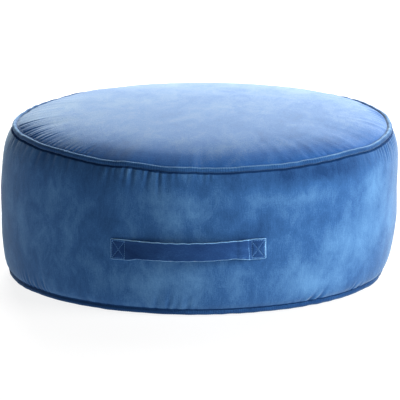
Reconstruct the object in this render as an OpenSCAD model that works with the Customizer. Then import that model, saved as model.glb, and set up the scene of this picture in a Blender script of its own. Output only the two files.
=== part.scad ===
// Round velvet floor cushion: a zipped cover with piped seams and a sewn strap handle,
// filled by a lined pad of wadding wrapped round a foam core.
// Origin: centre of the flat underside. +Z is up, the handle faces -Y and the zip faces +Y.

/* [Cushion] */
// Widest diameter of the filled cushion
cushion_d = 600; // [560:10:640]
// Height of the top piping's centre above the floor
seam_z = 225; // [215:1:240]
// How far the side swells past the centre of the top piping
side_bulge = 16; // [14:0.5:22]
// How far the side swells past the centre of the bottom piping
foot_bulge = 20.5; // [17:0.5:23]
// How far the top swells above the centre of the top piping
crown_h = 31; // [24:1:36]

/* [Fabric] */
// Thickness of the velvet with its backing
velvet_t = 1.5; // [1.2:0.1:1.5]
// Width of the seam allowances inside the cover
allowance = 10; // [8:1:10]
// Diameter of the finished piping
piping_d = 9; // [8.5:0.5:9.5]
// Diameter of the cord inside the piping
cord_d = 6; // [5:0.5:6]

/* [Handle] */
// Length of the strap over both sewn ends
handle_len = 234; // [220:2:246]
// Width of the strap
handle_w = 32; // [28:1:34]
// Length of each sewn end
handle_end_len = 24; // [20:1:26]
// Height of the strap's centre line above the floor
handle_z = 104; // [104:1:130]
// Clear depth behind the middle of the strap
finger_gap = 12; // [10:1:14]

/* [Zip] */
// Height of the zip above the floor
zip_z = 122; // [110:1:130]
// Height of the slot between the two folded velvet edges
zip_slot = 11; // [11:0.5:12]
// Angle that the zippered back of the side takes up
rear_angle = 120; // [100:5:140]

/* [Pad] */
// Thickness of the wadding round the foam
wadding_t = 14; // [8:1:20]
// Thickness of the pad's lining cloth
liner_t = 0.8; // [0.6:0.1:1]

/* [Hidden] */
$fn = 64;

velvet_colour = "steelblue";
shaded_velvet_colour = "royalblue";
calico_colour = "linen";
wadding_colour = "white";
foam_colour = "lightyellow";
metal_colour = "silver";
zip_colour = "navy";

// Space between layers of cloth that lie on each other
ply_gap = 0.1;
// Thickness of the cloth round the piping cord
piping_cloth_t = 1.3;

wide_r = cushion_d / 2;
seam_r = wide_r - side_bulge;
piping_r = piping_d / 2;

// Seams: the piping's centre, the radius of the fold beside it and the height of each ply
foot_seam_r = wide_r - foot_bulge;
foot_seam_z = 5.8;
fold_clear = 0.4;
fold_set_in = piping_r + fold_clear;
ply_near = piping_cloth_t + ply_gap;
ply_far = ply_near + velvet_t;
hug_clear = 0.15;
hug_r = piping_r + hug_clear;

// Side profile: straight between foot_z and shoulder_z, tucked in above and below
shoulder_z = 165;
foot_z = 88;
tuck_h = 6;
tuck_top_z = seam_z - tuck_h;
tuck_foot_z = foot_seam_z + tuck_h;
overhang = 7;
tuck_top = side_bulge - overhang;
tuck_foot = wide_r - foot_seam_r - overhang;
profile_steps = 12;
shoulder_power = 2.6;
foot_power = 1.5;

function above(z) = max(0, (z - shoulder_z) / (tuck_top_z - shoulder_z));
function below(z) = max(0, (foot_z - z) / (foot_z - tuck_foot_z));
function side_r(z) = wide_r - tuck_top * pow(above(z), shoulder_power)
    - tuck_foot * pow(below(z), foot_power);
function polar(r, a) = [r * cos(a), r * sin(a)];
function between(a, b, n) = [for (i = [0:n]) a + (b - a) * i / n];
function reversed(list) = [for (i = [len(list) - 1:-1:0]) list[i]];

// An arc of velvet beside a piping, as offsets from the piping's centre
hug_steps = 5;
function hugging(r, from, to) = [for (a = between(from, to, hug_steps)) polar(r, a)];

// Angles between which the side band hugs the lower and the upper piping
foot_hug_start = 152;
foot_hug_end = 88;
top_hug_start = 272;
top_hug_end = 208;
// The band's inner face leaves each piping this much sooner
hug_inner_cut = 12;

// ---- Cover ----

function side_curve(inset) = [
    for (z = concat(
        between(tuck_foot_z, foot_z, profile_steps),
        between(shoulder_z, tuck_top_z, profile_steps)
    )) [side_r(z) - inset, z]
];
function foot_tuck(r, cut) = [
    for (p = hugging(r, foot_hug_start - cut, foot_hug_end)) [foot_seam_r, foot_seam_z] + p
];
function top_tuck(r, cut) = [
    for (p = hugging(r, top_hug_start, top_hug_end + cut)) [seam_r, seam_z] + p
];

// Outline of the side band, from seam to seam, with both allowances turned in
module side_band_outline() {
    foot_fold_r = foot_seam_r - fold_set_in;
    top_fold_r = seam_r - fold_set_in;
    inner_hug_r = hug_r + velvet_t;
    fold_run = 2;
    polygon(concat(
        [[foot_fold_r, foot_seam_z + ply_near]],
        foot_tuck(hug_r, 0),
        side_curve(0),
        top_tuck(hug_r, 0),
        [[top_fold_r, seam_z - ply_near], [top_fold_r - allowance, seam_z - ply_near]],
        [[top_fold_r - allowance, seam_z - ply_far], [top_fold_r - fold_run, seam_z - ply_far]],
        reversed(top_tuck(inner_hug_r, hug_inner_cut)),
        reversed(side_curve(velvet_t)),
        reversed(foot_tuck(inner_hug_r, hug_inner_cut)),
        [[foot_fold_r - fold_run, foot_seam_z + ply_far]],
        [[foot_fold_r - allowance, foot_seam_z + ply_far]],
        [[foot_fold_r - allowance, foot_seam_z + ply_near]]
    ));
}

// A ply of cloth lying on the inside of the side band, plies deep, between two heights
module inner_ply_outline(plies, z_low, z_high) {
    outer = velvet_t + (plies - 1) * (velvet_t + ply_gap);
    polygon(concat(
        [for (z = between(z_low, z_high, profile_steps)) [side_r(z) - outer, z]],
        [for (z = between(z_high, z_low, profile_steps)) [side_r(z) - outer - velvet_t, z]]
    ));
}

rear_start = 90 - rear_angle / 2;
allowance_angle = allowance / wide_r * 180 / PI;
seam_gap_angle = 0.03;
// The pressed allowances stop this far short of the tucked-in ends of the band
press_margin = 4;
open_low_z = tuck_foot_z + press_margin;
open_high_z = tuck_top_z - press_margin;

module turned(start, angle) {
    rotate_extrude(start = start, angle = angle) children();
}

// Both ends of a band carry an allowance pressed flat against its inside
module pressed_ends(start, angle, z_low, z_high) {
    for (at = [start, start + angle - allowance_angle])
        turned(at, allowance_angle) inner_ply_outline(1, z_low, z_high);
}

module side_band_front() {
    start = rear_start + rear_angle + seam_gap_angle;
    angle = 360 - rear_angle - 2 * seam_gap_angle;
    color(velvet_colour) union() {
        turned(start, angle) side_band_outline();
        pressed_ends(start, angle, open_low_z, open_high_z);
    }
}

// One rear strip: the part of the band above (side 1) or below (side -1) the zip's slot
module rear_strip(side) {
    edge_z = zip_z + side * zip_slot / 2;
    margin = 20;
    far_z = side > 0 ? seam_z + margin : -margin;
    z_low = min(edge_z, far_z);
    hem_far_z = edge_z + side * allowance;
    turned(rear_start, rear_angle) {
        intersection() {
            side_band_outline();
            translate([0, z_low]) square([wide_r + margin, abs(far_z - edge_z)]);
        }
        inner_ply_outline(1, min(edge_z, hem_far_z), max(edge_z, hem_far_z));
    }
    seam_low = side > 0 ? hem_far_z : open_low_z;
    seam_high = side > 0 ? open_high_z : hem_far_z;
    pressed_ends(rear_start, rear_angle, seam_low, seam_high);
}

module side_band_rear_upper() {
    color(velvet_colour) union() rear_strip(1);
}

module side_band_rear_lower() {
    color(velvet_colour) union() rear_strip(-1);
}

// The top swells most near its rim and is almost level in the middle
crown_base_z = seam_z + ply_far + velvet_t;
crown_power = 4;
crown_steps = 20;
function crown_z(r, rim) = crown_base_z
    + (seam_z + crown_h - crown_base_z) * (1 - pow(r / rim, crown_power));

module top_panel() {
    rim = seam_r - fold_set_in;
    steps = between(0, rim, crown_steps);
    color(velvet_colour) rotate_extrude() polygon(concat(
        [for (r = steps) [r, crown_z(r, rim)]],
        [[rim, seam_z + ply_near], [rim - allowance, seam_z + ply_near]],
        [[rim - allowance, seam_z + ply_far], [rim - velvet_t, seam_z + ply_far]],
        [for (r = reversed(between(0, rim - velvet_t, crown_steps))) [r, crown_z(r, rim) - velvet_t]]
    ));
}

// The underside rests on a flat disc and rises to the seam round it
rising_w = 28;
rest_r = foot_seam_r - rising_w;
rising_steps = 6;
module bottom_panel() {
    rim = foot_seam_r - fold_set_in;
    rim_z = foot_seam_z - ply_far - velvet_t;
    rising = between(rest_r, rim, rising_steps);
    color(shaded_velvet_colour) rotate_extrude() polygon(concat(
        [[0, 0]],
        [for (r = rising) [r, rim_z * pow((r - rest_r) / (rim - rest_r), 2)]],
        [[rim, foot_seam_z - ply_near], [rim - allowance, foot_seam_z - ply_near]],
        [[rim - allowance, foot_seam_z - ply_far], [rim - velvet_t, foot_seam_z - ply_far]],
        [for (r = reversed(between(rest_r, rim - velvet_t, rising_steps)))
            [r, velvet_t + rim_z * pow((r - rest_r) / (rim - rest_r), 2)]],
        [[0, velvet_t]]
    ));
}

// Cloth round the cord, with its two-ply tail in the seam
module piping_cover(r, z) {
    color(velvet_colour) rotate_extrude() translate([r, z]) difference() {
        union() {
            circle(d = piping_d);
            translate([-fold_set_in - allowance, -piping_cloth_t])
                square([fold_set_in + allowance, 2 * piping_cloth_t]);
        }
        circle(d = cord_d + 2 * ply_gap);
    }
}

module piping_cord(r, z) {
    color(calico_colour) rotate_extrude() translate([r, z]) circle(d = cord_d);
}

module top_piping_cover() piping_cover(seam_r, seam_z);
module top_piping_cord() piping_cord(seam_r, seam_z);
module bottom_piping_cover() piping_cover(foot_seam_r, foot_seam_z);
module bottom_piping_cord() piping_cord(foot_seam_r, foot_seam_z);

// ---- Handle: a velvet sleeve over webbing, sewn down at both ends and free between them ----

webbing_t = 1.5;
strap_t = 2 * velvet_t + webbing_t;
strap_inner_r = wide_r + ply_gap;
free_half = handle_len / 2 - handle_end_len;
surface_y = sqrt(pow(strap_inner_r, 2) - pow(free_half, 2));
bow = wide_r + finger_gap - surface_y;
bow_r = (pow(free_half, 2) + pow(bow, 2)) / (2 * bow);
bow_centre_y = -(wide_r + finger_gap) + bow_r;
// Each end carries this much of the bowed run; a fine gap parts it from the grip
end_bow_run = 15;
grip_half = free_half - end_bow_run;
grip_gap = 0.4;
end_overlap = 1;
end_turn = asin(free_half / strap_inner_r);
end_angle = handle_end_len / strap_inner_r * 180 / PI;

// The bowed, free part of the strap, inset from the strap's surface on every side but its ends
module bowed_strap(inset) {
    translate([0, bow_centre_y, handle_z - handle_w / 2 + inset]) difference() {
        cylinder(r = bow_r + strap_t - inset, h = handle_w - 2 * inset, $fn = 128);
        translate([0, 0, -1]) cylinder(r = bow_r + inset, h = handle_w + 2, $fn = 128);
    }
}

module strap_slice(x_low, x_high) {
    translate([x_low, -(wide_r + finger_gap + 2 * strap_t), 0])
        cube([x_high - x_low, wide_r / 4, seam_z]);
}

module strap_grip(inset) {
    intersection() {
        bowed_strap(inset);
        strap_slice(-grip_half, grip_half);
    }
}

// A sewn end and the short bowed run beside it, for the right-hand side
module strap_end(inset) {
    end_inset = inset > 0 ? 2 * inset : 0;
    turn = end_angle - end_inset / strap_inner_r * 180 / PI;
    intersection() {
        bowed_strap(inset);
        strap_slice(grip_half + grip_gap, free_half + end_overlap);
    }
    translate([0, 0, handle_z - handle_w / 2 + inset])
        turned(270 + end_turn, turn)
            translate([strap_inner_r + inset, 0])
                square([strap_t - 2 * inset, handle_w - 2 * inset]);
}

module handle_grip() {
    color(velvet_colour) difference() {
        strap_grip(0);
        strap_grip(velvet_t);
    }
}

module handle_grip_webbing() color(calico_colour) strap_grip(velvet_t);

module strap_end_sleeve() {
    color(velvet_colour) difference() {
        strap_end(0);
        strap_end(velvet_t);
    }
}

module handle_end_right() strap_end_sleeve();
module handle_end_left() mirror([1, 0, 0]) strap_end_sleeve();
module handle_end_right_webbing() color(calico_colour) strap_end(velvet_t);
module handle_end_left_webbing() mirror([1, 0, 0]) handle_end_right_webbing();

// Box with a cross, in separate stitches that lie on the sewn end
stitch_d = 0.8;
stitch_len = 3;
stitch_pitch = 4.2;
box_margin = 3;
// The box's corners stay clear of each other's thread, and each arm of the cross its middle
corner_clear = 2;
arm_share = 0.76;

module stitch_run(from, to) {
    run = norm(to - from);
    count = floor(run / stitch_pitch);
    for (i = [0:count - 1]) {
        at = from + (to - from) * (i + 0.5) / count;
        lean = atan2(to[0] - from[0], to[1] - from[1]);
        rotate([0, 0, 270 + end_turn + at[0] / strap_inner_r * 180 / PI])
            translate([strap_inner_r + strap_t + stitch_d / 2 + ply_gap, 0, handle_z + at[1]])
                rotate([-lean, 0, 0])
                    cylinder(d = stitch_d, h = stitch_len, center = true, $fn = 16);
    }
}

module box_stitching() {
    near = box_margin;
    far = handle_end_len - box_margin;
    high = handle_w / 2 - box_margin;
    in_near = near + corner_clear;
    in_far = far - corner_clear;
    in_high = high - corner_clear;
    centre = [handle_end_len / 2, 0];
    color(shaded_velvet_colour) {
        stitch_run([near, -high], [near, high]);
        stitch_run([far, high], [far, -high]);
        stitch_run([in_near, high], [in_far, high]);
        stitch_run([in_far, -high], [in_near, -high]);
        stitch_run([in_near, -in_high], [in_far, in_high]);
        for (from = [[in_near, in_high], [in_far, -in_high]])
            stitch_run(from, from + (centre - from) * arm_share);
    }
}

module handle_stitching_right() box_stitching();
module handle_stitching_left() mirror([1, 0, 0]) box_stitching();

// ---- Zip ----

tape_t = 0.8;
tape_w = 15;
tape_face_r = wide_r - 2 * velvet_t - 2 * ply_gap;
coil_w = 2.8;
coil_split = 1;
coil_depth = 2.2;
coil_face_r = tape_face_r + ply_gap + coil_depth;
tape_margin_angle = 0.4;
coil_margin_angle = 1;
stop_margin_angle = 4;
stop_len = 2.5;
stop_t = 0.7;
edge_to_thread = 5;

module zip_ring(r_low, r_high, z_low, z_high, margin) {
    turned(rear_start + margin, rear_angle - 2 * margin)
        translate([r_low, z_low]) square([r_high - r_low, z_high - z_low]);
}

module zip_tape(side) {
    near = coil_split / 2;
    color(zip_colour) zip_ring(
        tape_face_r - tape_t, tape_face_r,
        zip_z + min(side * near, side * tape_w), zip_z + max(side * near, side * tape_w),
        tape_margin_angle
    );
}

module zip_coil(side) {
    near = coil_split / 2;
    far = near + coil_w;
    color(zip_colour) zip_ring(
        tape_face_r + ply_gap, coil_face_r,
        zip_z + min(side * near, side * far), zip_z + max(side * near, side * far),
        coil_margin_angle
    );
}

module zip_tape_upper() zip_tape(1);
module zip_tape_lower() zip_tape(-1);
module zip_coil_upper() zip_coil(1);
module zip_coil_lower() zip_coil(-1);

// A bar across both coils at each end of the slider's travel
module zip_end_stops() {
    bar_w = 2 * coil_w + coil_split;
    color(metal_colour) for (at = [rear_start + stop_margin_angle, 180 - rear_start - stop_margin_angle])
        rotate([0, 0, at])
            translate([coil_face_r + ply_gap, -stop_len / 2, zip_z - bar_w / 2])
                cube([stop_t, stop_len, bar_w]);
}

// A row of thread on each folded edge, which holds the velvet to the tape
module zip_stitching() {
    color(shaded_velvet_colour) for (side = [-1, 1])
        turned(rear_start + tape_margin_angle, rear_angle - 2 * tape_margin_angle)
            translate([wide_r + ply_gap + stitch_d / 2, zip_z + side * (zip_slot / 2 + edge_to_thread)])
                circle(d = stitch_d, $fn = 16);
}

slider_len = 14;
slider_w = 9.4;
slider_clear = 0.35;
plate_t = 1.3;
lower_plate_r = tape_face_r - tape_t - slider_clear - plate_t;
upper_plate_r = coil_face_r + slider_clear;
slider_stop_angle = 2.2;
slider_angle = rear_start + stop_margin_angle + slider_stop_angle;
bridge_len = 8;
bridge_w = 2.4;
bridge_t = 1.2;
puller_bar_d = 1.4;
bar_clear = 0.4;
pivot_r = upper_plate_r + plate_t + bar_clear + puller_bar_d / 2;
bridge_r = pivot_r + puller_bar_d / 2 + bar_clear;

module at_slider() rotate([0, 0, slider_angle]) children();

module slider_block(r, depth, long, wide) {
    translate([r, -long / 2, zip_z - wide / 2]) cube([depth, long, wide]);
}

// Two plates joined by the divider that runs between the coils, with the puller's bridge on top
module zip_slider() {
    divider_len = 3;
    divider_w = 0.4;
    color(metal_colour) at_slider() {
        slider_block(lower_plate_r, plate_t, slider_len, slider_w);
        slider_block(upper_plate_r, plate_t, slider_len, slider_w);
        slider_block(lower_plate_r, upper_plate_r + plate_t - lower_plate_r, divider_len, divider_w);
        slider_block(bridge_r, bridge_t, bridge_len, bridge_w);
        for (side = [-1, 1])
            translate([0, side * (bridge_len - bridge_t) / 2, 0])
                slider_block(upper_plate_r, bridge_r + bridge_t - upper_plate_r, bridge_t, bridge_w);
    }
}

// A loop round the bridge's pivot and a drilled tab, lying along the zip
module zip_puller() {
    tab_len = 20;
    tab_w = 7;
    tab_t = 1.4;
    loop_w = bridge_w + 1;
    root = 5;
    root_overlap = 1;
    hole_d = 3;
    bar_len = tab_w - 1;
    cheek_w = (bar_len - loop_w) / 2;
    color(metal_colour) at_slider() translate([pivot_r, 0, zip_z]) {
        cylinder(d = puller_bar_d, h = bar_len, center = true, $fn = 24);
        for (side = [-1, 1])
            translate([-tab_t / 2, 0, side * (loop_w + bar_len) / 4 - cheek_w / 2])
                cube([tab_t, root + root_overlap, cheek_w]);
        difference() {
            union() {
                translate([-tab_t / 2, root, -tab_w / 2]) cube([tab_t, tab_len - tab_w / 2, tab_w]);
                translate([0, root + tab_len - tab_w / 2, 0]) rotate([0, 90, 0])
                    cylinder(d = tab_w, h = tab_t, center = true, $fn = 48);
            }
            translate([0, root + tab_len - tab_w / 2, 0]) rotate([0, 90, 0])
                cylinder(d = hole_d, h = 2 * tab_t, center = true, $fn = 32);
        }
    }
}

// ---- Pad: foam core, wadding and lining ----

pad_clear = 8;
pad_r = wide_r - pad_clear;
pad_top_z = seam_z + 1;
pad_foot_z = velvet_t + 0.5;
pad_crown_h = crown_h - 5;
pad_corner = 38;
pad_middle_z = (pad_top_z + pad_foot_z) / 2;
pad_steps = 20;

// Radius of the pad's side, and height of its top, for a layer set in from the lining
function pad_bend(z) = pow(abs(z - pad_middle_z) / (pad_top_z - pad_middle_z), 4);
function pad_side_r(z, inset) = pad_r - inset - pad_corner * pad_bend(z);
function pad_rim(inset) = pad_r - inset - pad_corner;
function pad_crown(r, inset) = pad_top_z - inset
    + pad_crown_h * (1 - pow(r / pad_rim(0), crown_power));

module pad_side_ring(inset, thick, low_z, high_z) {
    zs = between(low_z, high_z, 2 * pad_steps);
    rotate_extrude() polygon(concat(
        [for (z = zs) [pad_side_r(z, inset), z]],
        [for (z = reversed(zs)) [pad_side_r(z, inset + thick), z]]
    ));
}

module pad_top_disc(inset, thick, reach) {
    rs = between(0, reach, pad_steps);
    rotate_extrude() polygon(concat(
        [for (r = rs) [r, pad_crown(r, inset)]],
        [for (r = reversed(rs)) [r, pad_crown(r, inset + thick)]]
    ));
}

// Where the layers meet, at the pad's corners
pad_layer_gap = 0.4;
liner_seam_top_z = pad_top_z - 1.2;
liner_seam_foot_z = pad_foot_z + liner_t + pad_layer_gap;
core_inset = liner_t + wadding_t + 2 * pad_layer_gap;

module pad_liner_top() {
    color(calico_colour) pad_top_disc(0, liner_t, pad_rim(0));
}

module pad_liner_band() {
    color(calico_colour) pad_side_ring(0, liner_t, liner_seam_foot_z, liner_seam_top_z);
}

module pad_liner_bottom() {
    color(calico_colour) translate([0, 0, pad_foot_z]) cylinder(r = pad_rim(0), h = liner_t);
}

module pad_wadding_top() {
    inset = liner_t + pad_layer_gap;
    color(wadding_colour) pad_top_disc(inset, wadding_t, pad_rim(inset) - wadding_t - pad_layer_gap);
}

module pad_wadding_side() {
    inset = liner_t + pad_layer_gap;
    color(wadding_colour)
        pad_side_ring(
            inset, wadding_t, pad_foot_z + liner_t + pad_layer_gap, pad_top_z - liner_t - 2 * pad_layer_gap
        );
}

module pad_wadding_bottom() {
    inset = liner_t + pad_layer_gap;
    color(wadding_colour) translate([0, 0, pad_foot_z + liner_t + pad_layer_gap])
        cylinder(r = pad_rim(inset) - wadding_t - pad_layer_gap, h = wadding_t);
}

module foam_core() {
    foot = pad_foot_z + core_inset;
    reach = pad_rim(core_inset) - pad_layer_gap;
    color(foam_colour) intersection() {
        pad_top_disc(core_inset, pad_crown(0, core_inset) - foot, reach + pad_corner);
        rotate_extrude() {
            zs = between(foot, pad_crown(0, core_inset), 2 * pad_steps);
            polygon(concat(
                [[0, foot]],
                [for (z = zs) [min(pad_r - core_inset, max(reach, pad_side_r(z, core_inset))), z]],
                [[0, pad_crown(0, core_inset)]]
            ));
        }
    }
}

top_panel();
side_band_front();
side_band_rear_upper();
side_band_rear_lower();
bottom_panel();
top_piping_cover();
top_piping_cord();
bottom_piping_cover();
bottom_piping_cord();
handle_grip();
handle_grip_webbing();
handle_end_left();
handle_end_right();
handle_end_left_webbing();
handle_end_right_webbing();
handle_stitching_left();
handle_stitching_right();
zip_tape_upper();
zip_tape_lower();
zip_coil_upper();
zip_coil_lower();
zip_end_stops();
zip_stitching();
zip_slider();
zip_puller();
pad_liner_top();
pad_liner_band();
pad_liner_bottom();
pad_wadding_top();
pad_wadding_side();
pad_wadding_bottom();
foam_core();
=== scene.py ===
import math

import bpy
import numpy as np
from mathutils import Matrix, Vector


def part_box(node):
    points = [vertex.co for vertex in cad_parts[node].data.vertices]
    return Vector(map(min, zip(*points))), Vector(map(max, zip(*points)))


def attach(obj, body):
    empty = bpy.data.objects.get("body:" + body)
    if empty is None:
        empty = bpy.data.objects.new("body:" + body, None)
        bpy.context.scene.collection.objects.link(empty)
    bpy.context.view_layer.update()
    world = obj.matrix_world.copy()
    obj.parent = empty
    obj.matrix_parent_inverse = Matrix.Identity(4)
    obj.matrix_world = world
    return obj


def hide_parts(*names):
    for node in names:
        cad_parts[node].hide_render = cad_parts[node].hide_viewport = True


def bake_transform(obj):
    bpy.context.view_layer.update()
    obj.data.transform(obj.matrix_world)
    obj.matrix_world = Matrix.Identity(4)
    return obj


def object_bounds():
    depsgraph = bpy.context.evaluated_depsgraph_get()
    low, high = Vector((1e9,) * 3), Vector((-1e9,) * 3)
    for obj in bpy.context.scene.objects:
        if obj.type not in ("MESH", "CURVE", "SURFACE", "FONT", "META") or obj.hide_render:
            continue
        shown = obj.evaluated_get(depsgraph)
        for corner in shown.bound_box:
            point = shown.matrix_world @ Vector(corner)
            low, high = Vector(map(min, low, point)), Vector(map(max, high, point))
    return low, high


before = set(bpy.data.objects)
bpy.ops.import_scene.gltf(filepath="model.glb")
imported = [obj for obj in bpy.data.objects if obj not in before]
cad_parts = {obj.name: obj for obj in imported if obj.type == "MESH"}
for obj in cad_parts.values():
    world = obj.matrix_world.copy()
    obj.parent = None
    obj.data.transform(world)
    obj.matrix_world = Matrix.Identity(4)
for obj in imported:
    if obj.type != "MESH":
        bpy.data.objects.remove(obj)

CAD_BOX = [list(corner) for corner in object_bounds()]
MM = 0.001
TAU = 2 * math.pi

# ---- Sizes, in millimetres, read from the frame ----


def box_mm(node):
    low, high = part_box(node)
    return np.array(low) / MM, np.array(high) / MM


def heights(node):
    """The middle of a node's height, and half of that height."""
    low, high = box_mm(node)
    return (high[2] + low[2]) / 2, (high[2] - low[2]) / 2


def ring_of(node):
    """Radius and height of a piping's centre line, and the piping's own radius."""
    middle, pipe = heights(node)
    return box_mm(node)[1][0] - pipe, middle, pipe


SEAM_R, SEAM_Z, PIPE_R = ring_of("top_piping_cover")
FOOT_R, FOOT_Z, _ = ring_of("bottom_piping_cover")
CORD_R = heights("top_piping_cord")[1]
WIDE_R = -box_mm("side_band_front")[0][1]
CROWN_Z = box_mm("top_panel")[1][2]
ZIP_LOW = box_mm("side_band_rear_lower")[1][2]
ZIP_HIGH = box_mm("side_band_rear_upper")[0][2]
ZIP_Z = (ZIP_LOW + ZIP_HIGH) / 2
GRIP_LOW, GRIP_HIGH = box_mm("handle_grip")
STRAP_Z = heights("handle_grip")[0]
STRAP_W = GRIP_HIGH[2] - GRIP_LOW[2]
STRAP_OUT = -GRIP_LOW[1]
STRAP_T = 4.5
STRAP_HALF = box_mm("handle_end_right")[1][0]
STRAP_FREE = 93.0
REAR_START = math.radians(30)
REAR_END = math.radians(150)
REST_R = FOOT_R - 28
PLY = 1.3
# Where each piece is cut from the roll, so that no two carry the same marks
TOP_CUT, PIPING_CUT, STRAP_CUT, BOTTOM_CUT = 700.0, 300.0, 450.0, -900.0

COLS = 1440
THETA = np.arange(COLS) * TAU / COLS
FINE_ROW = 2.3
SOFT_HOLD = 0.34


# ---- Shared helpers ----


def wavy(angle, seed, low, high, count=24):
    """Smooth seeded noise round the cushion, about -1 to 1, with between low and high waves in a turn."""
    rng = np.random.default_rng(seed)
    total = np.zeros_like(angle, dtype=float)
    for waves in rng.integers(low, high, count):
        total += rng.normal() * np.sin(waves * angle + rng.uniform(0, TAU))
    return total / math.sqrt(count)


def near_angle(angle, centre_deg, width_deg):
    """A bump of height 1 round one angle."""
    off = (np.degrees(angle) - centre_deg + 180) % 360 - 180
    return np.exp(-((off / width_deg) ** 2))


def smooth_curve(points):
    p = np.array(points, float)
    q = np.vstack([2 * p[0] - p[1], p, 2 * p[-1] - p[-2]])
    t = np.linspace(0, 1, 40, endpoint=False)[:, None]
    spans = [
        0.5 * (2 * b + (c - a) * t + (2 * a - 5 * b + 4 * c - d) * t**2 + (3 * b - a - 3 * c + d) * t**3)
        for a, b, c, d in zip(q, q[1:], q[2:], q[3:])
    ]
    return np.vstack(spans + [p[-1:]])


def run_length(curve):
    return np.r_[0, np.cumsum(np.linalg.norm(np.diff(curve, axis=0), axis=1))]


def along(curve, distances):
    run = run_length(curve)
    return np.stack([np.interp(distances, run, curve[:, k]) for k in range(curve.shape[1])], 1)


def ease(x):
    x = np.clip(x, 0, 1)
    return x * x * (3 - 2 * x)


def points_of(x, y, z):
    """Points from their coordinates, any of which may be one number for all of them."""
    return np.stack(np.broadcast_arrays(x, y, z), -1)


def arc_point(radius, angle, z):
    return points_of(radius * np.cos(angle), radius * np.sin(angle), z)


def polar(points):
    """Radius and angle of each point round the cushion's axis."""
    x, y = points[..., 0], points[..., 1]
    return np.hypot(x, y), np.arctan2(y, x) % TAU


def unit(vectors):
    return vectors / np.linalg.norm(vectors, axis=-1, keepdims=True)


def make(name, verts_mm, faces, body, node, material, slot, cloth=None, nap_and_light=None):
    """A piece from points in millimetres, which rides on a body and replaces one CAD node or several."""
    mesh = bpy.data.meshes.new(name)
    verts = np.asarray(verts_mm) * MM
    mesh.from_pydata([tuple(v) for v in verts], [], [tuple(int(i) for i in f) for f in faces])
    mesh.update()
    mesh.polygons.foreach_set("use_smooth", [True] * len(mesh.polygons))
    obj = bpy.data.objects.new(name, mesh)
    bpy.context.scene.collection.objects.link(obj)
    layers = (("cloth", "FLOAT_VECTOR", "vector", cloth), ("nap_and_light", "FLOAT", "value", nap_and_light))
    for key, kind, field, values in layers:
        if values is not None:
            mesh.attributes.new(key, kind, "POINT").data.foreach_set(field, np.asarray(values, float).ravel())
    mesh.materials.append(material)
    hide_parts(*([node] if isinstance(node, str) else node))
    if body:
        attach(obj, body)
    return obj


def grid_faces(rows, cols, closed_cols=False, closed_rows=False):
    faces = []
    for i in range(rows if closed_rows else rows - 1):
        a, b = i * cols, (i + 1) % rows * cols
        for j in range(cols if closed_cols else cols - 1):
            k = (j + 1) % cols
            faces.append((a + j, a + k, b + k, b + j))
    return faces


def capped_faces(rows, sides):
    """Faces of a tube that is closed at both ends."""
    last = (rows - 1) * sides
    caps = [tuple(range(sides))[::-1], tuple(range(last, last + sides))]
    return grid_faces(rows, sides, closed_cols=True) + caps


def thicken(obj, thickness):
    """Gives a sheet of cloth its thickness, on its inner side."""
    modifier = obj.modifiers.new("thickness", "SOLIDIFY")
    modifier.thickness = thickness * MM
    modifier.offset = -1.0


# ---- Materials ----


class Nodes:
    """Short names for building the node tree of a material, or of the world."""

    def __init__(self, name, owners=bpy.data.materials, shader="Principled BSDF"):
        self.owner = owners.new(name)
        self.owner.use_nodes = True
        self.tree = self.owner.node_tree
        self.shader = self.tree.nodes[shader]

    def add(self, kind, inputs=(), **props):
        node = self.tree.nodes.new(kind)
        for key, value in props.items():
            setattr(node, key, value)
        for key, value in dict(inputs).items():
            self.put(node.inputs[key], value)
        return node

    def put(self, socket, value):
        if isinstance(value, bpy.types.NodeSocket):
            self.tree.links.new(value, socket)
        else:
            socket.default_value = value

    def math(self, operation, a, b=0.0, clamp=False):
        return self.add("ShaderNodeMath", {0: a, 1: b}, operation=operation, use_clamp=clamp).outputs[0]

    def attribute(self, name, output):
        return self.add("ShaderNodeAttribute", attribute_name=name).outputs[output]

    def scaled(self, vector, scale):
        return self.add("ShaderNodeVectorMath", {0: vector, 1: scale}, operation="MULTIPLY").outputs[0]

    def noise(self, vector, scale, detail=3.0, roughness=0.55, distortion=0.0):
        inputs = {"Vector": vector, "Scale": scale, "Detail": detail, "Roughness": roughness}
        return self.add("ShaderNodeTexNoise", {**inputs, "Distortion": distortion}).outputs["Fac"]

    def ramp(self, value, stops):
        node = self.add("ShaderNodeValToRGB", {"Fac": value})
        elements = node.color_ramp.elements
        while len(elements) < len(stops):
            elements.new(0.5)
        for element, (at, colour) in zip(elements, stops):
            element.position = at
            element.color = (*colour, 1.0)
        return node.outputs["Color"]

    def bump(self, height, distance, strength, **normal):
        inputs = {"Height": height, "Distance": distance, "Strength": strength, **normal}
        return self.add("ShaderNodeBump", inputs).outputs["Normal"]

    def surface(self, **inputs):
        for key, value in inputs.items():
            self.put(self.shader.inputs[key.replace("_", " ")], value)
        return self.owner


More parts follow.
